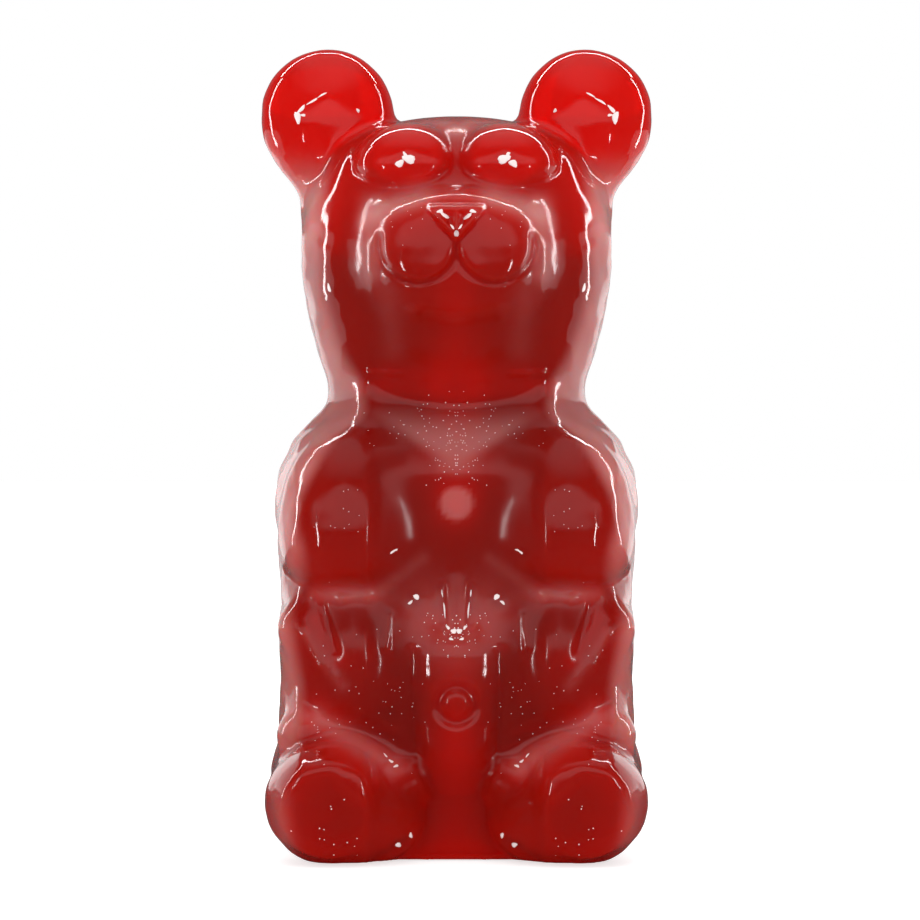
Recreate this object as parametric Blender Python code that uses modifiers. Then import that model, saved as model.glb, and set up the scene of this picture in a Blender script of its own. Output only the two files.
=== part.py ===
"""Giant gummy bear, one solid piece of gelatine gum that sits upright on its feet and rump.

The bear is modelled the way a pattern maker would build the master for the
mould: rounded lumps of clay (trunk, head, ears, muzzle, arms, legs, feet) are
pressed together, the joins are smoothed over, the mouth and the belly button
are pressed in, and the underside is cut flat so that it stands.

Metres in the file, millimetres in the constants.  +Z is up, the face looks
along -Y, and the origin is on the ground under the middle of the bear's box.
"""
import math

import bmesh
import bpy
import numpy as np
from mathutils import Matrix, Vector

MM = 0.001

# ---------------------------------------------------------------- sizes (mm)
HEIGHT = 240.0            # floor to the top of the ears
VOXEL = 1.2               # size of the clay grains when the lumps are fused
SMOOTHING = 26            # passes over the joins
TRIANGLES = 9300          # facets left on the finished skin
BASE_ROOM = 30.0          # how far the cutter under the base reaches

# Lumps.  centre, radii towards -x/-y/-z, radii towards +x/+y/+z, squareness
# seen from the front (m) and from above (n); 2 is a plain ellipsoid.
MIDDLE_LUMPS = {
    "torso":  ((0, 1, 76), (51.2, 40, 98), (51.2, 37.5, 54), 3.4, 2.6),
    "shoulders": ((0, 2, 106), (45.0, 35, 42), (45.0, 36.5, 45), 2.0, 2.2),
    "neck":   ((0, 1, 140), (37.2, 33, 60), (37.2, 33.5, 60), 2.0, 2.0),
    "head":   ((0, -1, 185), (45.8, 38, 70), (45.8, 36, 35.0), 2.1, 2.1),
    "brow":   ((0, -12, 205), (34, 23.5, 15), (34, 23.5, 14), 2.0, 2.0),
    "muzzle": ((0, -26, 184), (29.0, 30.5, 21), (29.0, 30.5, 14.5), 2.1, 2.1),
    "jaw":    ((0, -18, 165), (34, 25, 23), (34, 25, 26), 2.0, 2.0),
    "chest":  ((0, -6, 108), (30, 33, 26), (30, 31, 30), 2.0, 2.0),
    "belly":  ((0, -14, 56), (35, 32.5, 35), (35, 32.5, 35), 2.0, 2.0),
}
PAIRED_LUMPS = {
    "ear":    ((38.2, 5, 220.4), (19.6, 15.4, 19.6), (19.6, 15.4, 19.6), 2.0, 2.0),
    "jowl":   ((11.2, -44.0, 183), (12.2, 13.6, 11.8), (12.2, 13.6, 11.8), 2.2, 2.2),
    "eye":    ((14.9, -28, 208.8), (13.8, 13.4, 9.0), (13.8, 13.4, 9.0), 2.0, 2.0),
    "arm":    ((30.8, -22, 104.5), (22.3, 27, 24), (22.3, 27, 31.0), 2.0, 2.2),
    "haunch": ((34, -12, 52), (17.6, 31, 32), (17.6, 31, 29), 2.4, 2.2),
    "foot":   ((37.3, -38, 18.3), (18.4, 22.4, 18.4), (18.4, 22.4, 18.4), 2.2, 2.2),
    "instep": ((26, -34, 14), (15.5, 21, 15), (15.5, 21, 15), 2.0, 2.0),
}
# Straight rounded limbs: one end, other end, radius.
PAIRED_LIMBS = {
    "ear_root": ((35, 4, 214), (29, 2, 197), 14.8),
    "leg":      ((35.3, -6, 30), (36.0, -36, 18), 18.8),
}

NOSE_MIDDLE = 188.8       # height of the middle of the nose button
NOSE_HALF_WIDTH = 9.0     # to its top corners, before they are rounded
NOSE_UP, NOSE_DOWN = 4.8, 6.2
NOSE_ROUND = 3.0
NOSE_PROUD = 2.2

MOUTH_CENTRE = (11.3, 182.8)   # x, z of the middle of each cheek ball
MOUTH_RADIUS = 11.4
MOUTH_ENDS = (-178, -4)        # degrees, from the philtrum round to the corner
MOUTH_WIDTH = 1.5
MOUTH_DEPTH = 1.9

NAVEL_HEIGHT = 47.4
NAVEL_RADIUS = 5.6             # middle of the ring that is pressed in
NAVEL_WIDTH = 2.6
NAVEL_DEPTH = 2.4

GUM_RED = (0.36, 0.012, 0.008, 1.0)


# ------------------------------------------------------------------- helpers
def fresh_scene():
    for ob in list(bpy.data.objects):
        bpy.data.objects.remove(ob, do_unlink=True)


def collection(name):
    made = bpy.data.collections.new(name)
    bpy.context.scene.collection.children.link(made)
    return made


def add_lump(bm, centre, low, high, m=2.0, n=2.0, mirrored=False):
    """A ball stretched by its own radius in each direction, squared off by m and n."""
    ball = bmesh.ops.create_uvsphere(bm, u_segments=56, v_segments=36, radius=1.0)["verts"]
    for v in ball:
        x, y, z = v.co
        across = (abs(x) ** n + abs(y) ** n) ** (m / n)
        v.co /= (across + abs(z) ** m) ** (1.0 / m)
        for axis in range(3):
            v.co[axis] = centre[axis] + v.co[axis] * (low[axis] if v.co[axis] < 0 else high[axis])
        v.co *= MM
    if mirrored:
        mirror(bm, ball)


def add_limb(bm, start, end, radius, mirrored=False):
    """A ball pulled out into a rounded rod."""
    a, b = Vector(start), Vector(end)
    turn = (b - a).to_track_quat("Z", "Y").to_matrix()
    ball = bmesh.ops.create_uvsphere(bm, u_segments=40, v_segments=24, radius=radius)["verts"]
    for v in ball:
        home = b if v.co.z > 0 else a
        v.co = (turn @ v.co + home) * MM
    if mirrored:
        mirror(bm, ball)


def mirror(bm, verts):
    faces = list({f for v in verts for f in v.link_faces})
    twin = bmesh.ops.duplicate(bm, geom=faces)["geom"]
    for g in twin:
        if isinstance(g, bmesh.types.BMVert):
            g.co.x = -g.co.x
    bmesh.ops.reverse_faces(bm, faces=[g for g in twin if isinstance(g, bmesh.types.BMFace)])


def object_from(bm, name, home):
    mesh = bpy.data.meshes.new(name)
    bmesh.ops.recalc_face_normals(bm, faces=bm.faces)
    bm.to_mesh(mesh)
    bm.free()
    made = bpy.data.objects.new(name, mesh)
    home.objects.link(made)
    return made


def settle(ob):
    """Turn the modifiers of an object into its mesh."""
    bpy.context.view_layer.update()
    graph = bpy.context.evaluated_depsgraph_get()
    ob.data = bpy.data.meshes.new_from_object(ob.evaluated_get(graph))
    ob.modifiers.clear()


def drop_crumbs(ob):
    """Keep the largest body and throw away loose crumbs left by cutting."""
    bm = bmesh.new()
    bm.from_mesh(ob.data)
    waiting = set(bm.verts)
    bodies = []
    while waiting:
        edge = [waiting.pop()]
        body = list(edge)
        while edge:
            grown = []
            for v in edge:
                for e in v.link_edges:
                    other = e.other_vert(v)
                    if other in waiting:
                        waiting.remove(other)
                        grown.append(other)
            body += grown
            edge = grown
        bodies.append(body)
    bodies.sort(key=len)
    for body in bodies[:-1]:
        bmesh.ops.delete(bm, geom=body, context="VERTS")
    bm.to_mesh(ob.data)
    bm.free()


def press(ob, tool, name):
    """Subtract one tool from the body."""
    cut = ob.modifiers.new(name, "BOOLEAN")
    cut.operation = "DIFFERENCE"
    cut.solver = "EXACT"
    cut.object = tool


def as_cutter(ob):
    ob.hide_render = True
    ob.display_type = "WIRE"
    return ob


def ramp(value, start, end):
    t = np.clip((value - start) / (end - start), 0.0, 1.0)
    return t * t * (3.0 - 2.0 * t)


def press_details(ob):
    """Raise the nose button and press in the mouth and the belly button."""
    count = len(ob.data.vertices)
    co = np.empty(count * 3)
    ob.data.vertices.foreach_get("co", co)
    co = co.reshape(-1, 3) / MM
    x, y, z = np.abs(co[:, 0]), co[:, 1], co[:, 2]

    # Nose: a triangle pointing down, its two bounds blended for round corners.
    top = z - (NOSE_MIDDLE + NOSE_UP)
    run = math.hypot(NOSE_HALF_WIDTH, NOSE_UP + NOSE_DOWN)
    side = ((x - NOSE_HALF_WIDTH) * (NOSE_UP + NOSE_DOWN)
            - (z - NOSE_MIDDLE - NOSE_UP) * NOSE_HALF_WIDTH) / run
    blend = np.maximum(NOSE_ROUND - np.abs(top - side), 0.0)
    edge = np.maximum(top, side) + blend ** 2 / (4.0 * NOSE_ROUND)
    push = -NOSE_PROUD * (1.0 - ramp(edge, -0.8, 0.8)) * ramp(-y, 44, 50)

    # Mouth: a round line under each cheek ball.
    dx, dz = x - MOUTH_CENTRE[0], z - MOUTH_CENTRE[1]
    angle = np.degrees(np.arctan2(dz, dx))
    along = ramp(angle, MOUTH_ENDS[0], MOUTH_ENDS[0] + 12) * (1 - ramp(angle, MOUTH_ENDS[1] - 14, MOUTH_ENDS[1]))
    line = np.exp(-((np.hypot(dx, dz) - MOUTH_RADIUS) / MOUTH_WIDTH) ** 2)
    push += MOUTH_DEPTH * along * line * ramp(-y, 30, 38)

    # Belly button: a ring with a bud left standing in the middle.
    ring = np.hypot(x, z - NAVEL_HEIGHT) - 0.5 * NAVEL_RADIUS
    push += NAVEL_DEPTH * np.exp(-(ring / NAVEL_WIDTH) ** 2) * ramp(-y, 30, 38)

    co[:, 1] += push
    ob.data.vertices.foreach_set("co", (co * MM).ravel())
    ob.data.update()


# ------------------------------------------------------------------ the bear
fresh_scene()
parts = collection("gummy_bear_parts")
cutters = collection("cutters")

clay = bmesh.new()
for centre, low, high, m, n in MIDDLE_LUMPS.values():
    add_lump(clay, centre, low, high, m, n)
for centre, low, high, m, n in PAIRED_LUMPS.values():
    add_lump(clay, centre, low, high, m, n, mirrored=True)
for start, end, radius in PAIRED_LIMBS.values():
    add_limb(clay, start, end, radius, mirrored=True)
bear = object_from(clay, "gummy_bear", parts)

fuse = bear.modifiers.new("fuse the lumps", "REMESH")
fuse.mode = "VOXEL"
fuse.voxel_size = VOXEL * MM
fuse.adaptivity = 0.0
soften = bear.modifiers.new("smooth the joins", "SMOOTH")
soften.factor = 0.5
soften.iterations = SMOOTHING
settle(bear)
drop_crumbs(bear)

press_details(bear)
last = bear.modifiers.new("round the edges", "SMOOTH")
last.factor = 0.5
last.iterations = 2
settle(bear)

thin = bear.modifiers.new("thin", "DECIMATE")
thin.decimate_type = "COLLAPSE"
thin.ratio = TRIANGLES / sum(len(p.vertices) - 2 for p in bear.data.polygons)
settle(bear)

# Bring the ears to the full height and cut the underside flat.
top = max(v.co.z for v in bear.data.vertices)
bear.data.transform(Matrix.Scale(HEIGHT * MM / top, 4))
floor = bmesh.new()
bmesh.ops.create_cube(floor, size=1.0, matrix=(
    Matrix.Translation((0, 0, -BASE_ROOM * MM / 2)) @ Matrix.Diagonal((0.3, 0.3, BASE_ROOM * MM, 1))))
floor_ob = as_cutter(object_from(floor, "floor_tool", cutters))
press(bear, floor_ob, "flat base")
settle(bear)
drop_crumbs(bear)

# The lumps were placed from the middle of the trunk.  The origin goes to the
# middle of the whole bear's box instead, on the ground.
places = [v.co for v in bear.data.vertices]
bear.data.transform(Matrix.Translation(Vector((
    -(min(p.x for p in places) + max(p.x for p in places)) / 2,
    -(min(p.y for p in places) + max(p.y for p in places)) / 2,
    0.0))))

for polygon in bear.data.polygons:
    polygon.use_smooth = True

gum = bpy.data.materials.new("gelatine_gum")
gum.use_nodes = True
shader = gum.node_tree.nodes["Principled BSDF"]
shader.inputs["Base Color"].default_value = GUM_RED
shader.inputs["Roughness"].default_value = 0.12
shader.inputs["Metallic"].default_value = 0.0
bear.data.materials.clear()
bear.data.materials.append(gum)
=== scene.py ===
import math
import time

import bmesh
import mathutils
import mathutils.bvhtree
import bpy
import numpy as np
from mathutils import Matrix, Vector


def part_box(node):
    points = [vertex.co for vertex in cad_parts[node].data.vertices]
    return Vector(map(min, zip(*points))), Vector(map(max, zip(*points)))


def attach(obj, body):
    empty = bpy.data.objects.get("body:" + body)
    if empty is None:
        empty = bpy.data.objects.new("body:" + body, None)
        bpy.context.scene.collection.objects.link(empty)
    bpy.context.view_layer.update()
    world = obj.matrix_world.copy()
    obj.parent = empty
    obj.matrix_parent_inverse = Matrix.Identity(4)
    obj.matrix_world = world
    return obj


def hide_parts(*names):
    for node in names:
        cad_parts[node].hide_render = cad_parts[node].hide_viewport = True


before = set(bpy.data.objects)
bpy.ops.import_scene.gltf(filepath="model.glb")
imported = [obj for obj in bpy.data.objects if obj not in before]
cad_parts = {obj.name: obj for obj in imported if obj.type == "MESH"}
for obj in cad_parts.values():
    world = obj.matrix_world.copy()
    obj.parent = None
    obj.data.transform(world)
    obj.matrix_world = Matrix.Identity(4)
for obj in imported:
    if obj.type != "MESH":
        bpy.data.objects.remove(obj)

# %% [markdown]
# A giant gummy bear
#
# One thick block of red gelatine gum, poured into a mould and turned out
# shiny. There is only one piece to make, so the work goes into three things:
# the soft shape, the see-through red gum, and the studio that a shiny thing
# mirrors. The CAD solid gives the place and the size. It has few facets, so
# here it is covered with a fine skin that takes its form from a description
# in "clay": rounded lumps that melt into each other.

MM = 0.001
started = time.time()
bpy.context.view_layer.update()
cad_low, cad_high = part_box("gummy_bear")
CLAY_TALL = 240.0               # the height that the clay is drawn at, mm
TALL = (cad_high.z - cad_low.z) / MM
MIDDLE_TO_FRONT = 60.35         # from the middle of the trunk to the toes, mm
print("the bear is", [round(s / MM, 1) for s in cad_high - cad_low], "mm wide, deep and tall")

# %% [markdown]
# How a soft form can be described
#
# A sculptor presses balls of clay together and strokes the joins. The same
# can be said with numbers: for any point in space, each ball tells how far
# away its surface is, below zero inside it. The smaller of two distances is
# both balls together, and a smallest value that is rounded off near the join
# is the stroke of a thumb. Every join gets its own roundness that way, which
# a remesh and a smooth over everything can't give: wide under an ear, tight
# in the crease beside the snout.

# %% Lumps, limbs, joins and ramps
def turned(a, b, degrees):
    """Two coordinates, turned together."""
    s, c = math.sin(math.radians(degrees)), math.cos(math.radians(degrees))
    return a * c + b * s, b * c - a * s


def lump(p, centre, low, high=None, up=2.0, plan=2.0, roll=0.0):
    """Distance to a ball that has its own radius each way, squarer if up or plan is over 2."""
    high = low if high is None else high
    x, y, z = (p[i] - centre[i] for i in range(3))
    if roll:
        x, z = turned(x, z, roll)
    rx, ry, rz = (np.where(v < 0, low[i], high[i]) for i, v in enumerate((x, y, z)))
    qx, qy, qz = np.abs(x) / rx, np.abs(y) / ry, np.abs(z) / rz
    flat = (qx ** plan + qy ** plan) ** (1 / plan) + 1e-6
    full = (flat ** up + qz ** up) ** (1 / up) + 1e-6
    side, rise = (flat / full) ** (up - 1), (qz / full) ** (up - 1)
    steep = np.sqrt((side * (qx / flat) ** (plan - 1) / rx) ** 2
                    + (side * (qy / flat) ** (plan - 1) / ry) ** 2 + (rise / rz) ** 2)
    return (full - 1) / (steep + 1e-6)


def limb(p, start, end, radius, end_radius=None):
    """Distance to a straight rounded rod."""
    a, b = np.array(start, float), np.array(end, float)
    run = b - a
    along = np.clip(sum((p[i] - a[i]) * run[i] for i in range(3)) / (run @ run), 0, 1)
    thick = radius if end_radius is None else radius + (end_radius - radius) * along
    return np.sqrt(sum((p[i] - a[i] - along * run[i]) ** 2 for i in range(3))) - thick


def press_on(body, piece, thumb):
    """Both pieces together, with the join rounded off over the width of the thumb."""
    near = np.maximum(thumb - np.abs(body - piece), 0)
    return np.minimum(body, piece) - near * near / (4 * thumb)


def scoop_out(body, piece, thumb):
    """The body without the piece, with the rim rounded off."""
    return -press_on(-body, piece, thumb)


def ramp(value, start, end):
    """0 before start, 1 after end, smooth between them."""
    t = np.clip((value - start) / (end - start), 0, 1)
    return t * t * (3 - 2 * t)


def near(value, middle, width):
    """1 at the middle, fading out over the width on both sides."""
    return np.exp(-((value - middle) / width) ** 2)


def through(z, heights, sizes):
    """A smooth curve through a few sizes, and how fast it grows."""
    h, s = np.array(heights, float), np.array(sizes, float)
    slope = np.gradient(s, h)
    i = np.clip(np.searchsorted(h, z) - 1, 0, len(h) - 2)
    step = h[i + 1] - h[i]
    t = np.clip((z - h[i]) / step, 0, 1)
    a, b, ma, mb = s[i], s[i + 1], slope[i] * step, slope[i + 1] * step
    size = a + t * (ma + t * (3 * (b - a) - 2 * ma - mb + t * (2 * (a - b) + ma + mb)))
    growth = (ma + t * (2 * (3 * (b - a) - 2 * ma - mb) + 3 * t * (2 * (a - b) + ma + mb))) / step
    return size, growth


def loft(p, rows, corner):
    """Distance to a body given by rows: height, half width, squareness, round front, flat front, back."""
    heights, wide, squareness, round_front, flat_front, back = zip(*rows)
    x, y, z = p
    w, w_grows = through(z, heights, wide)
    f, f_grows = through(z, heights, round_front)
    b, b_grows = through(z, heights, back)
    square, _ = through(z, heights, squareness)
    d, d_grows = np.where(y < 0, f, b), np.where(y < 0, f_grows, b_grows)
    qx, qy = np.abs(x) / w, np.abs(y) / d
    full = (qx ** square + qy ** square) ** (1 / square) + 1e-6
    ax, ay = (qx / full) ** (square - 1), (qy / full) ** (square - 1)
    rise = ax * qx * w_grows / w + ay * qy * d_grows / d
    body = (full - 1) / (np.sqrt((ax / w) ** 2 + (ay / d) ** 2 + rise ** 2) + 1e-6)
    flat, flat_grows = through(z, heights, flat_front)
    return scoop_out(body, (y + flat) / np.sqrt(1 + flat_grows ** 2), corner)


far_off = lump((30.0, 0.0, 0.0), (0, 0, 0), (10, 10, 10))
print("a ball of radius 10 mm is", round(float(far_off), 2), "mm away from a point at 30 mm")

# %% [markdown]
# The bear in clay
#
# A mould for a sitting gummy bear is simple and chubby: a straight trunk with
# hardly a neck, an egg for a head, balls for ears, arms and feet. Both halves
# are alike, so the lumps are placed for the bear's left half and the distance
# across is taken without its sign. Sizes are in millimetres for a bear 240 mm
# tall, and the whole is scaled to the solid that the CAD gives.

# %% Trunk and head
TRUNK = (  # height, half width, squareness, roundness of the front, its flat, to the back
    (-12, 44, 3, 38, 30, 32), (0, 48.5, 3.5, 40, 34, 36.5), (12, 51.5, 4, 42, 35, 38),
    (24, 52.8, 4, 43, 36, 38.5), (36, 52.6, 4, 43, 36.5, 38.5), (48, 52.0, 4, 43, 37.5, 38.5),
    (58, 51.7, 4.5, 43, 38, 38.5), (68, 52.4, 5.5, 42, 37.5, 38.5), (78, 51.5, 4.5, 42, 37, 38.5),
    (88, 52.2, 3, 41, 37, 38.5), (97, 52.2, 2.5, 42, 38, 38.5), (105, 53.6, 2.4, 42, 38.6, 38.5),
    (111, 53.2, 2.3, 43, 39.3, 38), (116, 52.3, 2.2, 44, 39.3, 37.7), (121, 49.7, 2.1, 44, 37.2, 37),
    (125, 47.9, 2.0, 45, 34.9, 36.5), (130.5, 42.7, 1.8, 44, 31.6, 35), (135.5, 38.4, 1.8, 43, 28.9, 33.5),
    (141, 37.9, 1.8, 42, 27.4, 32.5), (148, 39.4, 1.9, 41, 27, 32), (158, 41.2, 2.0, 40, 29, 31),
    (170, 38.5, 2, 36, 28, 28))
TRUNK_TOP = 170      # mm


def trunk(p):
    body = np.maximum(loft(p, TRUNK, 3), p[2] - TRUNK_TOP)
    head = lump(p, (0, -1, 185), (45.8, 40, 62), (45.8, 36, 34.5), up=2.2, plan=2.2)
    return press_on(body, head, 4)


def ears(p):
    root = limb(p, (37.5, 4, 214), (31, 2, 201), 15.0)
    return press_on(lump(p, (38.2, 5, 220.4), (19.4, 15, 19.4)), root, 8)


def reach(form, across, height):
    """How far forward a form comes at one place, in mm."""
    depths = np.arange(-80, 40, 0.1)
    inside = form((np.full_like(depths, across), depths, np.full_like(depths, height))) < 0
    return round(float(-depths[inside.argmax()]), 1)


print("the trunk is", 2 * max(row[1] for row in TRUNK), "mm wide at most")
print("its front is", reach(trunk, 0, 60), "mm in front of the middle, an ear", reach(ears, 38, 220), "mm")

# %% [markdown]
# The face
#
# The eyes are two closed, bulging mounds that share a brow. The snout is a
# box with soft sides, cut upright in front and level on top, so that the top
# catches the light as a pale shelf. Drawing these edges into one head shape
# would need a very fine mesh. As cuts with their own corner they stay crisp.


# %% Face
def snout(p):
    """A rounded box: an upright front, a shelf above it that arches over the nose, steep sides."""
    x, y, z = p
    block = lump(p, (0, -20, 180), (30.0, 38, 26), (30.0, 38, 27), up=2.4, plan=2.15)
    block = scoop_out(block, (y + 53.5 - 0.09 * (z - 184)) * 0.99, 6)
    arch = (x / 20) ** 2
    shelf = z - (196.8 - 6.5 * arch) - (3 + 4 * arch) * (y + 53) / 18
    return scoop_out(block, -shelf / np.sqrt(1 + (0.65 * x / 20) ** 2), 2.2)


def face(body, p):
    x, y, z = p
    brow = lump(p, (0, -12, 203), (36, 20.5, 15), up=2.6, plan=2.3)
    jaw = lump(p, (0, -18, 168), (25.5, 28, 26), (25.5, 28, 20), plan=2.2)
    body = press_on(press_on(body, brow, 4), jaw, 3)
    body = press_on(body, snout(p), 3 + 3 * ramp(x, 14, 26) * ramp(z, 160, 180) * (1 - ramp(z, 184, 200)))
    eye = lump((x, z, y), (14.4, 205.6, -25), (15.8, 8.6, 15.5), (15.6, 12.4, 15.5), up=2.3)
    return press_on(body, eye, 1.2 + 1.5 * ramp(-z, -206, -200))


def nose_outline(x, z):
    """Distance to the edge of a triangle that points down, with round corners."""
    half, up, down, corner = 9.4, 5.2, 5.2, 3.0
    top, run = z - 188.5 - up, math.hypot(half, up + down)
    side = ((x - half) * (up + down) - (top) * half) / run
    edge = np.maximum(corner - np.abs(top - side), 0)
    return np.maximum(top, side) + edge * edge / (4 * corner)


def nose_and_mouth(body, p):
    x, y, z = p
    in_front = ramp(-y, 36, 44)
    from_cheek = np.hypot(x - 11.4, z - 182.8)
    below = 1 - ramp(z, 180, 186)
    body = body + 1.5 * in_front * below * ramp(from_cheek, 10.6, 12.6) * (1 - ramp(x, 22, 27))
    body = body + 1.3 * in_front * (1 - ramp(z, 183, 187)) * near(from_cheek, 11.5, 1.0)
    nose = nose_outline(x, z)
    rim = 2.4 * (1 - ramp(nose, -0.5, 0.9))
    dish = 1.9 * (1 - ramp(nose, -3.0, -1.1)) * ramp(x + 0.12 * (z - 188), 0.2, 2.0)
    return body - in_front * (rim - dish)


print("the snout is", reach(snout, 0, 186), "mm in front of the middle")

# %% [markdown]
# Arms, belly, legs and feet
#
# A gummy bear has no elbows or fingers. Its arms are pads that lean against
# the chest, its knees and feet are balls in front of the belly, and the soles
# are cut flat. Each pad is one lump, and what makes it look soft is how wide
# its join to the body is.

# %% Arms and chest
def arms(body, p):
    """An arm is a round pad that leans against the chest, fuller below than above."""
    arm = lump(p, (34, -23.5, 95.5), (23.5, 25, 15.5), (18.4, 25, 32), up=2.3, plan=2.3)
    return press_on(body, arm, 3 + 3 * ramp(p[2], 84, 98))


print("an arm is", reach(lambda p: arms(trunk(p), p), 34, 95), "mm in front of the middle")


# %% Belly, legs and feet
def legs(body, p):
    x, y, z = p
    belly = limb(p, (0, -31, 36), (0, -30.5, 60), 12.5, 13.5)
    body = press_on(body, belly, 7)
    body = press_on(body, limb(p, (0, -34.5, 62), (0, -31, 87), 6.5, 5), 4)
    knee = lump(p, (30, -17, 63), (12, 25.5, 27), (13, 25.5, 18), up=2.1, plan=2.1, roll=-7)
    body = press_on(body, knee, 7)
    body = press_on(body, limb(p, (45.5, -31, 70), (33, -34, 50), 6.5), 4)
    thigh = limb(p, (43, -30, 37), (19, -36, 21.5), 10)
    body = press_on(body, thigh, 3)
    foot = lump(p, (37.3, -38, 18.3), (18.2, 30, 18.4))
    foot = press_on(foot, limb(p, (37.0, -8, 27), (37, -36, 18), 18.2), 4)
    foot = press_on(foot, lump(p, (25, -34, 13), (15.5, 21, 14)), 5)
    foot = scoop_out(foot, (y + 57.5) * 0.97 + (z - 11) * 0.24, 3)
    return press_on(body, foot, 2.5)


print("a foot is", reach(lambda p: legs(trunk(p), p), 37, 18), "mm in front of the middle")

# %% [markdown]
# What casting leaves on the skin
#
# A mould that is pressed from an older bear carries its creases along, and
# warm gum keeps small dents where air sat against the mould. They are strokes
# and spots that push the skin in or out by less than a millimetre. On a shiny
# skin that is enough to bend every reflection. As real shape they hold from
# all sides, which a bump map does not.

# %% Folds, dents and waves
FOLDS = (  # start (across, height), end, width of the fold, how far it stands out (in, if less than 0)
    ((42, 80.5), (34, 78.6), 1.6, 0.7), ((34, 78.6), (26, 79.4), 1.6, 0.7),
    ((26, 79.4), (18, 84), 1.8, 0.6), ((18, 84), (9.5, 91), 2.0, 0.4), ((39.5, 76), (35.7, 63), 1.3, -0.7),
    ((45.5, 69), (40, 59), 1.6, 0.6), ((40, 59), (33.6, 53), 1.6, 0.5), ((4.5, 82), (3.6, 71), 1.2, -0.9),
    ((13, 62), (12, 33), 2.0, -0.9), ((16, 144.4), (27, 144.4), 0.9, 0.4),
    ((8, 172), (5, 152), 2.5, -0.4), ((46.5, 49), (45.5, 31), 1.6, 0.7), ((13.1, 30), (8.7, 19.7), 1.6, 0.9),
    ((16, 40), (30, 47), 1.6, 0.5), ((20, 73), (20.6, 64), 1.3, 0.6), ((34, 24.5), (27, 19.5), 1.5, 0.8))
DENTS = (  # across, height, radius, depth
    (19.6, 91.7, 1.9, 0.7), (12.2, 78.5, 2.4, 1.0), (0, 68.5, 2.6, 1.0), (19.5, 30.5, 2.2, 1.0),
    (8.5, 141, 2.0, 0.4), (17.5, 5, 2.0, 0.9))


def stroke(x, z, start, end, width):
    """1 along a straight stroke across the front, fading out over the width."""
    run = np.subtract(end, start)
    along = np.clip(((x - start[0]) * run[0] + (z - start[1]) * run[1]) / (run @ run), 0, 1)
    return near(np.hypot(x - start[0] - along * run[0], z - start[1] - along * run[1]), 0, width)


def navel(body, p):
    """A ring groove that leaves a bud in its middle."""
    x, y, z = p
    away = np.hypot(x, z - 47.4)
    return body + 1.6 * near(away, 5.2, 1.6) * ramp(-y, 30, 36)


def folds(body, p):
    """What the mould left: shallow folds, and small dents from the air that was caught in it."""
    x, y, z = p
    on_front = ramp(-y, 8, 16)
    for start, end, width, out in FOLDS:
        body = body - out * on_front * stroke(x, z, start, end, width)
    for across, height, radius, depth in DENTS:
        body = body + depth * on_front * near(np.hypot(x - across, z - height), 0, radius)
    return body


def waves(body, p):
    """No moulded sweet is quite smooth. The sides are a little more uneven than the front."""
    x, y, z = p
    at_side = ramp(x, 30, 44)
    slow = np.sin(0.21 * x + 0.33 * z + 1.0) * np.sin(0.29 * y - 0.13 * z)
    slow = slow + np.sin(0.17 * z + 0.31 * y + 2.0)
    fast = np.sin(0.63 * z + 0.41 * x) * np.sin(0.55 * y + 0.47 * x + 0.9) + np.sin(0.95 * z - 0.38 * y)
    return body + (0.05 + 0.10 * at_side) * slow + (0.02 + 0.02 * at_side) * fast


def bear(x, y, z):
    """Distance to the skin of the whole bear, in mm, from its middle line and the ground."""
    p = (np.abs(x) / (1 + 0.017 * ramp(z, 34, 46)), y, z)
    body = press_on(trunk(p), ears(p), 5)
    body = face(body, p)
    body = arms(body, p)
    body = legs(body, p)
    body = navel(body, p)
    body = nose_and_mouth(body, p)
    body = waves(folds(body, p), p)
    return np.maximum(body, -z)


print("folds and dents:", len(FOLDS) + len(DENTS), "on each side")

# %% [markdown]
# A skin over the clay
#
# The field only says where the surface is. The skin starts as a copy of the
# CAD solid, remeshed to even squares, and each corner slides down the slope
# of the field until its distance is zero. Before the last slide the face and
# other fine parts get squares of half the size, because their lines are finer.
#
# The clay is drawn as the bear looks from the front, from about 1.2 m away.
# From there a foot or a nose, which stands forward, looks a little larger and
# further from eye level than it is. The way from the solid to the clay takes
# that into account, so each part gets its true place.

# %% The skin
SQUARE = 1.4          # mm
EYE_LEVEL, EYE_AWAY = 116.4, 1213.0          # mm
EYE_ON_CLAY, CLAY_SCALE = 119.0, 0.9794       # where that eye level is on the clay, and its scale
FINE_PARTS = (  # lowest and highest corner of each part that gets squares of half the size
    ((-32, -70, 165), (32, -28, 220)), ((-14, -70, 36), (14, -30, 58)), ((-46, -70, 62), (46, -30, 94)),
    ((34, -70, 215), (52, 0, 231)), ((-52, -70, 215), (-34, 0, 231)), ((-30, -70, 128), (30, -20, 147)),
    ((-10.5, -70, 181), (10.5, -45, 197)))


def as_drawn(q):
    """How much wider a point looks from the front than it is, and the height that it is seen at."""
    grows = EYE_AWAY / (EYE_AWAY + np.minimum(q[:, 1], 0)) - 1
    wider = 1 + grows * (0.4 + 0.6 * ramp(q[:, 2], 15, 70))
    seen_at = EYE_ON_CLAY + (q[:, 2] - EYE_LEVEL) * (1 + grows) * CLAY_SCALE
    off_the_ground = ramp(q[:, 2], 3, 32)
    return wider, q[:, 2] + (seen_at - q[:, 2]) * off_the_ground


def to_clay(points):
    """From the CAD's place and size to the clay's, which is drawn as it looks from the front."""
    q = (points - place) * CLAY_TALL / TALL
    wider, height = as_drawn(q)
    return np.stack([q[:, 0] * wider, q[:, 1], height], axis=1)


def from_clay(points):
    """The other way round."""
    q = points.copy()
    for _ in range(8):
        wider, height = as_drawn(q)
        q[:, 0] = points[:, 0] / wider
        q[:, 2] += points[:, 2] - height
    return q * TALL / CLAY_TALL + place


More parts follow.
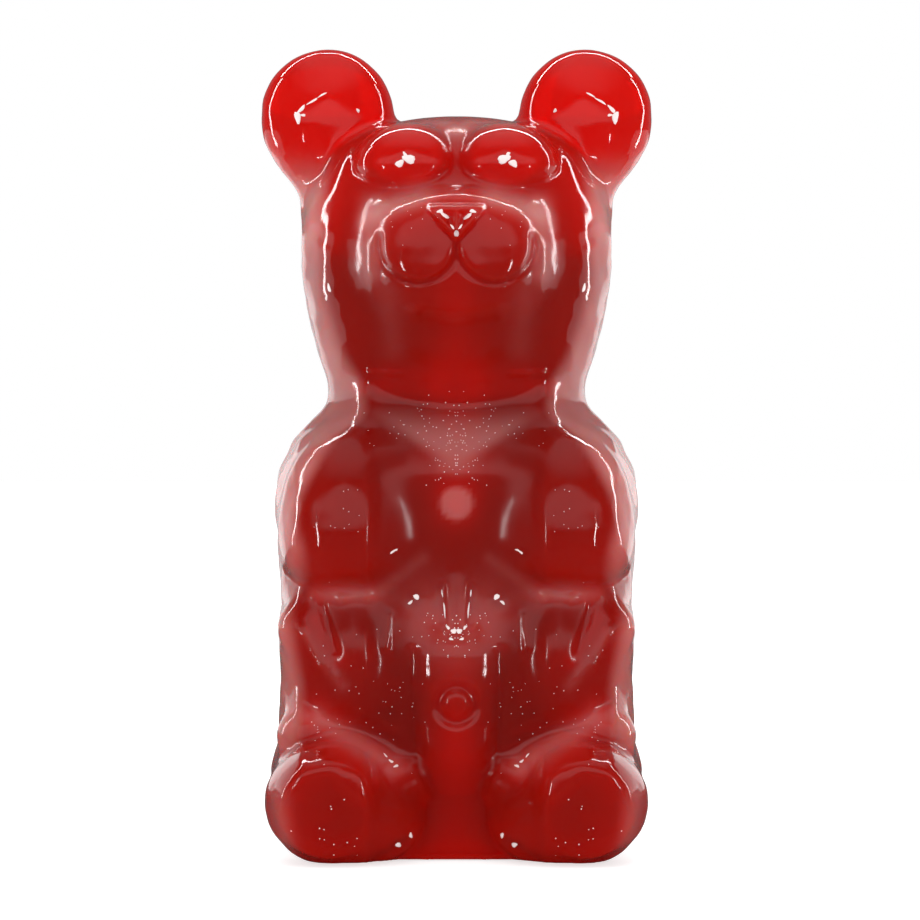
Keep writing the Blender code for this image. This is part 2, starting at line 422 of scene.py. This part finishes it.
def slide(points, times):
    """Moves points onto the surface where the field is zero."""
    q = to_clay(points)
    step = 0.05
    for _ in range(times):
        here = bear(*q.T)
        slope = np.stack([bear(*(q + step * axis).T) - bear(*(q - step * axis).T)
                          for axis in np.eye(3)], axis=1) / (2 * step)
        q = q - slope * (here / np.maximum((slope ** 2).sum(1), 0.2))[:, None]
    return from_clay(q)


def corners(mesh):
    """The places of all corners of a mesh, in mm."""
    co = np.empty(len(mesh.vertices) * 3)
    mesh.vertices.foreach_get("co", co)
    return co.reshape(-1, 3) / MM


def set_corners(mesh, places):
    mesh.vertices.foreach_set("co", (places * MM).ravel())
    mesh.update()


place = np.array([0, cad_low.y / MM + MIDDLE_TO_FRONT * TALL / CLAY_TALL, 0])
skin = bpy.data.objects.new("bear_skin", bpy.data.objects["gummy_bear"].data.copy())
bpy.context.scene.collection.objects.link(skin)


def even_squares(size):
    """Covers the skin with new, even squares."""
    remesh = skin.modifiers.new("even squares", "REMESH")
    remesh.mode = "VOXEL"
    remesh.voxel_size = size * MM
    bpy.context.view_layer.update()
    skin.data = bpy.data.meshes.new_from_object(
        skin.evaluated_get(bpy.context.evaluated_depsgraph_get()))
    skin.modifiers.clear()


for size, times in ((2.4, 4), (SQUARE, 4)):
    even_squares(size)
    set_corners(skin.data, slide(corners(skin.data), times))

bm = bmesh.new()
bm.from_mesh(skin.data)
for low, high in FINE_PARTS:
    bm.faces.ensure_lookup_table()
    middles = to_clay(np.array([f.calc_center_median() for f in bm.faces]) / MM)
    inside = np.flatnonzero(((middles >= low) & (middles <= high)).all(axis=1))
    edges = list({e for i in inside for e in bm.faces[i].edges})
    bmesh.ops.subdivide_edges(bm, edges=edges, cuts=1, use_grid_fill=True)
bm.to_mesh(skin.data)
bm.free()
set_corners(skin.data, slide(corners(skin.data), 3))
for polygon in skin.data.polygons:
    polygon.use_smooth = True
print("skin:", sum(len(f.vertices) - 2 for f in skin.data.polygons), "triangles,",
      "off by", round(float(np.abs(bear(*to_clay(corners(skin.data)).T)).max()), 3), "mm at most")
print("seconds so far:", round(time.time() - started, 1))
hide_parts("gummy_bear")
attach(skin, "root")

# %% [markdown]
# Node maths as plain expressions
#
# Shader nodes are easier to read as sums. The class below holds the output
# of a node, and +, - and * on it add the Math nodes.

# %% A small language for nodes
class Value:
    """The output of a node, which can be used in a sum."""

    def __init__(self, tree, socket):
        self.tree, self.socket = tree, socket

    def also(self, name):
        """Another output of the same node."""
        return Value(self.tree, self.socket.node.outputs[name])

    def sum(self, operation, *terms):
        return self.tree.add("ShaderNodeMath", {"operation": operation}, dict(enumerate(terms)))

    def __add__(self, other):
        return self.sum("ADD", self, other)

    def __radd__(self, other):
        return self.sum("ADD", other, self)

    def __sub__(self, other):
        return self.sum("SUBTRACT", self, other)

    def __rsub__(self, other):
        return self.sum("SUBTRACT", other, self)

    def __mul__(self, other):
        return self.sum("MULTIPLY", self, other)

    def __rmul__(self, other):
        return self.sum("MULTIPLY", other, self)

    def between(self, start, end):
        """0 at start, 1 at end, smooth between them."""
        return self.tree.add("ShaderNodeMapRange",
                             {"interpolation_type": "SMOOTHSTEP", "clamp": True},
                             {"Value": self, "From Min": start, "From Max": end})


class Tree:
    """The nodes of one material or of the world."""

    def __init__(self, owner):
        owner.use_nodes = True
        self.nodes, self.links = owner.node_tree.nodes, owner.node_tree.links
        self.nodes.clear()

    def add(self, kind, settings=None, sockets=None, out=0):
        node = self.nodes.new(kind)
        for name, setting in (settings or {}).items():
            setattr(node, name, setting)
        for name, given in (sockets or {}).items():
            if isinstance(given, Value):
                self.links.new(given.socket, node.inputs[name])
            else:
                node.inputs[name].default_value = given
        return Value(self, node.outputs[out]) if node.outputs else None


print("a socket can be added, multiplied and taken away from a number")

# %% [markdown]
# Painted sheen and painted glow
#
# Thick gum is dark red. Along the sides, on the snout, at the throat and in a
# round spot on the chest it looks pale. Part of that is light from behind and
# the bright room in its shine. All of it is painted here into the colour, as
# gum that is pale near the skin: a painted sheen, which looks alike from the
# front and is simple to place. The thin ears let light through and are bright
# red; that light is painted into the colour too, as a glow.
#
# Three numbers are stored at each corner of the skin: how much pale sheen is
# painted in, how much light that comes through is painted in as brighter red,
# and how dull the surface is. They are soft functions of place, so they need
# no picture and no unwrapping.

# %% Where pale sheen is painted into the gum
# A faint even milkiness, which the gum has all over; the rest of this map is painted sheen.
EVERYWHERE = 0.015
VEIL_EDGE = (  # height, distance from the middle line where the painted side sheen begins
    (22, 52), (30, 48), (50, 45.5), (66, 48), (76, 49), (84, 45), (91, 45), (103, 47.5), (116, 42),
    (125, 36), (131, 28.5), (141, 28), (150, 33), (165, 38), (180, 39.5), (200, 38.5), (212, 37), (216, 40))


def cloud(x, y, z):
    """Soft, uneven patches between 0 and 1."""
    value = np.sin(0.19 * z + 0.11 * y) * np.sin(0.16 * y - 0.07 * z + 1)
    value = value + 0.6 * np.sin(0.31 * y + 0.12 * z + 2)
    return ramp(value + 0.4 * np.sin(0.43 * z + 0.37 * y + 0.2 * x), -1.3, 1.3)


def milk_and_painted_sheen(points):
    """How pale the gum is made at each corner, from 0 to 1: a faint even milkiness, and painted sheen at the
    sides and in front.
    """
    x, y, z = to_clay(points).T
    patchy = cloud(x, y, z)
    x = np.abs(x)
    edge, _ = through(z, *zip(*VEIL_EDGE))
    # The pale band along the sides is painted sheen: the bright room mirrored at the edges, and light from
    # behind.
    sides = 0.6 + 0.4 * near(z, 190, 10) + 0.15 * near(z, 118, 12)
    sides = sides - 0.22 * near(z, 172, 9) - 0.28 * near(z, 86, 9)
    sides = sides * ramp(x - edge, -2, 3.5) * ramp(z, 18, 42) * (1 - ramp(z, 196, 212))
    sides = sides * (0.85 + 0.25 * patchy) * (1 - ramp(y, -12, 26))
    # Shield, streaks, hood, brow, belly, spot, ledge, band and soles are painted highlights: pale
    # reflections of the lamps and the room above.
    shield = 0.6 * ramp(5 + 22 * ramp(z, 117, 137) - x, -4, 5) * ramp(z, 112, 122) * (1 - ramp(z, 124, 136))
    streaks = 0.07 * stroke(x, z, (21, 168), (19, 152), 3.5)
    streaks = streaks + 0.35 * stroke(x, z, (25, 194), (25.5, 174), 3.5)
    hood = (0.15 + 0.55 * ramp(x, 4, 12)) * near(z, 197.5 - 2.5 * (x / 16) ** 2, 3.6)
    hood = hood * (1 - ramp(x, 24, 32))
    brow = 0.5 * near(z, 219 - 3 * near(x, 0, 4), 3) * (1 - ramp(x, 18, 28))
    belly = 0.2 * stroke(x, z, (0, 68), (7, 73), 10)
    spot = 0.5 * (1 - ramp(np.hypot(x, z - 106.3), 3.8, 5.8))
    ledge = 0.42 * near(z, 79.4, 2.4) * near(x, 33, 10) + 0.1 * stroke(x, z, (10, 90), (25, 79), 2)
    band = 0.4 * stroke(x, z, (42, 43.5), (19, 29.5), 3) + 0.12 * stroke(x, z, (33.6, 52.7), (45, 68), 1.8)
    soles = 0.25 * stroke(x, z, (50, 5), (52, 20), 3)
    front = shield + streaks + hood + brow + belly + spot + ledge + band + soles
    return np.clip(EVERYWHERE + sides + front * ramp(-y, 10, 20), 0, 1)


print("the side haze begins", min(d for _, d in VEIL_EDGE), "to", max(d for _, d in VEIL_EDGE), "mm out")


# %% Where light that comes through is painted in
LIT = (  # start (across, height), end, width and strength of the places where light that comes through is painted in
    ((0, 32), (0, 6), 10, 0.32), ((42, 43), (19, 29), 6, 0.6), ((0, 50), (0, 40), 9, 0.3),
    ((0, 69), (8, 71), 8, 0.45), ((0, 107), (0, 106), 6, 0.6), ((40, 79.5), (26, 79.5), 5, 0.3),
    ((0, 172), (0, 148), 8, 0.25), ((0, 138), (0, 122), 10, 0.4), ((8, 142), (20, 142), 6, 0.3),
    ((35, 60), (42, 72), 3, 0.25))


def thin(points):
    """How much light that comes through the gum is painted into its colour: 1 in the ears, which let light
    through, and less elsewhere.
    """
    x, y, z = to_clay(points).T
    x = np.abs(x)
    ears = ramp(-np.sqrt((x - 38.2) ** 2 + (y - 5) ** 2 + (z - 220.4) ** 2), -27, -19)
    ears = ears * (0.62 + 0.45 * near(np.hypot(x - 36, z - 217), 0, 13))
    eyes = 0.7 * ramp(-np.hypot(x - 14.8, 1.3 * (z - 208)), -15, -9) * ramp(-y, 20, 30)
    # Painted light as brighter red: on the top of the head, low on the feet, and along the listed places.
    some = 0.45 * ramp(z, 170, 198) * (1 - 0.6 * ramp(z, 208, 216)) + 0.08 * (1 - ramp(z, 24, 36))
    for start, end, width, strength in LIT:
        some = some + strength * stroke(x, z, start, end, width) * ramp(-y, 10, 20)
    return np.clip(np.maximum(np.maximum(ears, eyes), some), 0, 1)


print("places that light comes through, besides ears and eyes:", len(LIT))


# %% Where the shine is lost
MATT = (  # start (across, height), end, width and strength: cheek, throat, lap, chest and brow
    ((25.5, 190), (26.5, 175), 8, 0.55), ((0, 140), (14, 142), 9, 0.6), ((32, 74), (30, 58), 12, 0.8),
    ((15, 82), (17, 120), 12, 0.9), ((0, 106), (14, 113), 11, 0.8), ((0, 219), (0, 211), 6, 0.9))


def dull(points):
    """1 where the gum has lost its shine."""
    x, y, z = to_clay(points).T
    x = np.abs(x)
    places = sum(strength * stroke(x, z, start, end, width) for start, end, width, strength in MATT)
    return np.clip(places, 0, 1) * ramp(-y, 10, 20)


print("dull places:", len(MATT))


# %% Storing all three
def keep(mesh, name, values):
    """Stores one number for each corner, for the material to read."""
    layer = mesh.attributes.new(name, "FLOAT", "POINT")
    layer.data.foreach_set("value", np.ascontiguousarray(values, np.float32))
    print(name, "is", round(float(values.mean()), 3), "on average")


for name, how_much in (("milk_and_painted_sheen", milk_and_painted_sheen), ("dull", dull), ("thin", thin)):
    keep(skin.data, name, how_much(corners(skin.data)))

# %% [markdown]
# Trapped air and painted highlights
#
# Air that gets into thick gum can't rise out of it before it sets. Fine air
# specks show at the throat, on the belly and in the feet. The larger beads are
# painted highlights: pale spots and streaks where the lamps shine in the eyes,
# ears and nose, on the chest, belly, thighs, feet and the sides of the head.
# Each is a real bead here, flat and half sunk into the skin, so that it is
# seen from any side. The large ones are placed one by one and the specks are
# scattered with a fixed seed.

# %% Trapped air and painted highlights
# The large beads are painted highlights, pale where the lamps shine on the skin.
PAINTED_GLINTS = (  # across, height, half length, half width, slope in degrees
    # eyes and ears
    (14.2, 207.3, 2.0, 1.3, 20), (17.0, 206.0, 1.4, 1.0, -30), (15.4, 208.6, 1.0, 0.5, 60),
    (40.2, 226.2, 1.6, 0.3, -32), (43.2, 224.3, 2.0, 0.35, -30), (46.5, 222.0, 1.6, 0.6, -45),
    (47.6, 219.5, 2.0, 1.0, 75), (46.0, 220.2, 0.9, 0.4, 10), (29.5, 221.5, 0.7, 0.5, 60),
    # nose
    (3.4, 190.6, 1.7, 0.7, 35), (4.9, 192.0, 1.0, 0.5, -15), (0.0, 185.4, 0.9, 1.0, 0),
    (1.2, 187.4, 1.0, 0.35, 55),
    # chest and belly
    (19.3, 91.9, 1.4, 0.35, -35), (18.2, 92.6, 0.7, 0.3, -10), (12.2, 78.9, 1.3, 0.8, 30),
    (13.8, 77.2, 0.9, 0.4, -40), (0.8, 68.8, 0.9, 0.8, 0), (2.6, 69.9, 0.9, 0.4, 50),
    (1.6, 66.5, 0.7, 0.4, 20), (3.6, 75.0, 2.4, 0.25, 82), (4.4, 80.2, 1.4, 0.25, 78),
    # thighs, feet and the sides of the head
    (19.2, 30.6, 1.2, 0.5, 35), (17.8, 29.2, 0.9, 0.5, -40), (20.9, 32.4, 0.8, 0.3, 50),
    (17.0, 5.2, 2.4, 0.8, 58), (13.4, 8.0, 1.6, 0.6, 50), (38.2, 169.5, 1.4, 0.7, 70),
    (39.0, 166.6, 1.0, 0.5, -60))
SPRINKLES = (  # how many, middle (across, height), spread across and up, smallest and largest radius
    (60, (0, 129), (26, 9), 0.10, 0.2), (28, (0, 119), (11, 7), 0.10, 0.18),
    (36, (0, 68), (13, 7), 0.10, 0.2), (24, (33, 56), (16, 24), 0.10, 0.18),
    (14, (36, 12), (13, 10), 0.12, 0.25), (12, (34, 104), (9, 9), 0.10, 0.16),
    (16, (40, 40), (9, 10), 0.10, 0.18), (10, (14, 188), (11, 8), 0.08, 0.14),
    (20, (17, 45), (9, 16), 0.08, 0.16))
LARGE = 0.4           # mm, beads longer than this are rounder and less regular
bm = bmesh.new()
bm.from_mesh(skin.data)
skin_tree = mathutils.bvhtree.BVHTree.FromBMesh(bm)
bm.free()
chance = np.random.default_rng(7)
# The beads: specks of trapped air, and pale painted highlights.
air = bmesh.new()


def bead(across, height, long, wide, slope):
    """A flat bead that lies on the front of the skin, half sunk into it."""
    depth = -45.0
    for _ in range(2):
        x, _, z = from_clay(np.array([[across, depth, height]]))[0]
        start = Vector((x, place[1] - 90, z)) * MM
        place_on, normal, _, _ = skin_tree.ray_cast(start, Vector((0, 1, 0)))
        if place_on is None or normal.y > -0.25:
            return
        depth = place_on.y / MM - place[1]
    made = bmesh.ops.create_icosphere(air, subdivisions=2 if long > LARGE else 1, radius=1.0)
    turn = Vector((0, -1, 0)).rotation_difference(normal).to_matrix().to_4x4()
    lie = mathutils.Matrix.Rotation(math.radians(-slope), 4, "Y")
    size = mathutils.Matrix.Diagonal((long * MM, 0.25 * min(long, wide) * MM, wide * MM, 1))
    for corner in made["verts"]:
        if long > LARGE:
            corner.co *= 1 + 0.16 * math.sin(3 * math.atan2(corner.co.z, corner.co.x) + across + height)
    there = mathutils.Matrix.Translation(place_on)
    bmesh.ops.transform(air, matrix=there @ turn @ lie @ size, verts=made["verts"])


print("flecks on each side:", len(PAINTED_GLINTS), "and specks:", sum(row[0] for row in SPRINKLES))


# %% Placing the beads
for across, height, long, wide, slope in PAINTED_GLINTS:
    for side in (-1, 1):
        bead(side * across, height, long, wide, side * slope)
for many, middle, spread, small, large in SPRINKLES:
    for _ in range(many):
        across, up = chance.normal(0, 0.5, 2) * spread
        radius = chance.uniform(small, large)
        for side in (-1, 1):
            bead(side * (middle[0] + across), middle[1] + up, radius, radius, 0)
# One object holds the air specks and the painted highlights.
air_specks_and_glints = bpy.data.objects.new("air_specks_and_painted_glints", bpy.data.meshes.new("air_specks_and_painted_glints"))
bpy.context.scene.collection.objects.link(air_specks_and_glints)
air.to_mesh(air_specks_and_glints.data)
air.free()
for polygon in air_specks_and_glints.data.polygons:
    polygon.use_smooth = True
print("faces of trapped air:", len(air_specks_and_glints.data.polygons))
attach(air_specks_and_glints, "root")

# %% [markdown]
# The gum
#
# Red gum lets red light through and swallows green and blue. Light that goes
# in near the skin scatters and comes out red, and light that crosses the
# whole block comes out dark. The first is subsurface scattering, the second
# is half a glass over a body that absorbs. Plain glass would show a white
# room behind the bear, and scattering alone would look like wax.

# %% The gum
GELATINE = 1.43       # how strongly gelatine bends light
gum = bpy.data.materials.new("red_gum")
t = Tree(gum)
# Pale painted sheen, with a faint even milkiness, read from the corners.
milk_and_sheen = t.add("ShaderNodeAttribute", {"attribute_name": "milk_and_painted_sheen"}).also("Fac")
# Painted light that comes through, read from the corners.
clear = t.add("ShaderNodeAttribute", {"attribute_name": "thin"}).also("Fac")
matt = t.add("ShaderNodeAttribute", {"attribute_name": "dull"}).also("Fac")


def blend(factor, first, second):
    """One colour that turns into another."""
    return t.add("ShaderNodeMix", {"data_type": "RGBA"}, {0: factor, 6: first, 7: second}, out=2)


# The darker red is the gum's own colour; the brighter red is painted light that comes through.
red = blend(clear, (0.40, 0.007, 0.002, 1), (0.95, 0.006, 0.002, 1))
# The pale pink is painted sheen: the room and lamps mirrored in the skin, and light from behind.
red = blend(milk_and_sheen, red, (0.88, 0.36, 0.34, 1))
shine = 0.05 + milk_and_sheen * 0.05 + matt * 0.16
shader = t.add("ShaderNodeBsdfPrincipled", {"subsurface_method": "RANDOM_WALK"}, {
    "Base Color": red, "Roughness": shine, "IOR": GELATINE, "Transmission Weight": 0.5,
    "Subsurface Weight": 1.0, "Subsurface Radius": (1.0, 0.12, 0.06), "Subsurface Scale": 0.05})
inside = t.add("ShaderNodeVolumeAbsorption", None, {"Color": (0.95, 0.3, 0.3, 1), "Density": 300})
t.add("ShaderNodeOutputMaterial", None, {"Surface": shader, "Volume": inside})
skin.data.materials.clear()
skin.data.materials.append(gum)
print("the gum has", len(gum.node_tree.nodes), "nodes")

# %% The beads are pale and shiny: trapped air, and painted highlights
air_and_glint_paint = bpy.data.materials.new("air_and_painted_glints")
t = Tree(air_and_glint_paint)
# The pale colour serves the air specks and the painted highlights alike.
shader = t.add("ShaderNodeBsdfPrincipled", None, {
    "Base Color": (0.93, 0.80, 0.79, 1), "Roughness": 0.25, "IOR": GELATINE})
t.add("ShaderNodeOutputMaterial", None, {"Surface": shader})
air_specks_and_glints.data.materials.append(air_and_glint_paint)
print("materials:", gum.name, "and", air_and_glint_paint.name)

# %% [markdown]
# The studio
#
# Most of what is seen on a shiny sweet is the room. The backdrop is white,
# but a skin that mirrors white all round loses its edges. So the world is
# bright for the light that goes through the gum, and nearly dark in its
# mirror, apart from a pale panel in front and the sky above. The thin bright
# lines round the ears, arms and head come from long narrow lamps.

# %% The world
world = bpy.data.worlds.new("studio")
bpy.context.scene.world = world
w = Tree(world)
way = w.add("ShaderNodeTexCoord")
parts = w.add("ShaderNodeSeparateXYZ", None, {0: way})
ahead, height = parts.also("Y"), parts.also("Z")
side_way = w.add("ShaderNodeMath", {"operation": "ABSOLUTE"}, {0: parts})
above = height.between(0.70, 0.98)
peak = height + side_way * 0.4
panel = (ahead * -1).between(0.35, 0.62) * height.between(0.04, 0.2) * (1 - peak.between(0.62, 0.76))
sky = above * (1 - ahead.between(0.22, 0.48))
mirrored = 0.06 + ahead.between(0.3, 0.8) * 0.12 + panel * 0.8 + sky * 0.5
behind = ahead.between(0.22, 0.5)
fill = 0.7 + above * 2.2 + behind * 0.6
ray = w.add("ShaderNodeLightPath")
gloss, seen = ray.also("Is Glossy Ray"), ray.also("Is Camera Ray")
level = gloss * mirrored + (1 - gloss) * fill
level = level * (1 - seen) + seen
white = w.add("ShaderNodeBackground", None, {"Color": (1, 1, 1, 1), "Strength": level})
w.add("ShaderNodeOutputWorld", None, {"Surface": white})
print("the world has", len(world.node_tree.nodes), "nodes")


# %% The lamps
def lamp(name, place, width, tall, brightness, only_gloss=False, target=(0, 0, 0.12)):
    """A rectangular light that faces the bear. brightness is what its face looks like in a mirror."""
    data = bpy.data.lights.new(name, "AREA")
    data.shape, data.size, data.size_y = "RECTANGLE", width, tall
    data.energy = brightness * math.pi * width * tall
    made = bpy.data.objects.new(name, data)
    bpy.context.scene.collection.objects.link(made)
    made.location = place
    made.rotation_euler = (Vector(target) - Vector(place)).to_track_quat("-Z", "Y").to_euler()
    made.visible_camera = False
    made.visible_diffuse = made.visible_transmission = not only_gloss
    return made


for side in (-1, 1):
    lamp("edge_strip", (side * 0.88, 0.30, 0.28), 0.06, 1.3, 15, only_gloss=True)
    lamp("front_strip", (side * 0.66, -0.62, 0.09), 0.045, 0.22, 24, only_gloss=True, target=(0, 0, 0.09))
    lamp("side_card", (side * 0.30, 0.21, 0.124), 0.44, 0.17, 0.75)
lamp("back_card", (0, 0.36, 0.124), 0.6, 0.17, 0.6)
lamp("top_strip", (0, 0.42, 0.98), 1.7, 0.06, 20, only_gloss=True)

# %% [markdown]
# The floor and the camera
#
# The floor is white and melts into the backdrop, with only a faint shadow
# under the bear. In the bear's mirror it is dark, so that the feet keep their
# edge. The camera stands level with the middle of the bear, with a long lens.

# %% Floor
JUST_BELOW = 0.0002   # m, so that the floor and the soles don't share a plane
bpy.ops.mesh.primitive_plane_add(size=40, location=(0, 0, -JUST_BELOW))
floor = bpy.context.object
floor.name = "floor"
pale = bpy.data.materials.new("pale_floor")
f = Tree(pale)
lit = f.add("ShaderNodeBsdfDiffuse", None, {"Color": (0.5, 0.5, 0.5, 1)})
dim = f.add("ShaderNodeBsdfDiffuse", None, {"Color": (0.06, 0.06, 0.06, 1)})
glow = f.add("ShaderNodeEmission", None, {"Color": (1, 1, 1, 1), "Strength": 0.7})
bright = f.add("ShaderNodeAddShader", None, {0: lit, 1: glow})
gloss = f.add("ShaderNodeLightPath").also("Is Glossy Ray")
either = f.add("ShaderNodeMixShader", None, {0: gloss, 1: bright, 2: dim})
f.add("ShaderNodeOutputMaterial", None, {"Surface": either})
floor.data.materials.append(pale)
print("the floor is", round(floor.dimensions.x), "m wide")

# %% Camera
camera = bpy.data.objects.new("camera", bpy.data.cameras.new("camera"))
bpy.context.scene.collection.objects.link(camera)
camera.data.lens = 160
camera.data.sensor_width = 36
camera.location = (0.00103, -1.2134, 0.1164)
camera.rotation_euler = (math.radians(90), 0, 0)
bpy.context.scene.camera = camera
bpy.context.scene.view_settings.view_transform = "Standard"
print("the camera sees", round(math.degrees(camera.data.angle), 1), "degrees")

# %% [markdown]
# Sizes, and the end
# The end
# The visual model has to stay close to the solid that stands for it in a simulation.

# %% The end
print("seconds in all:", round(time.time() - started, 1))
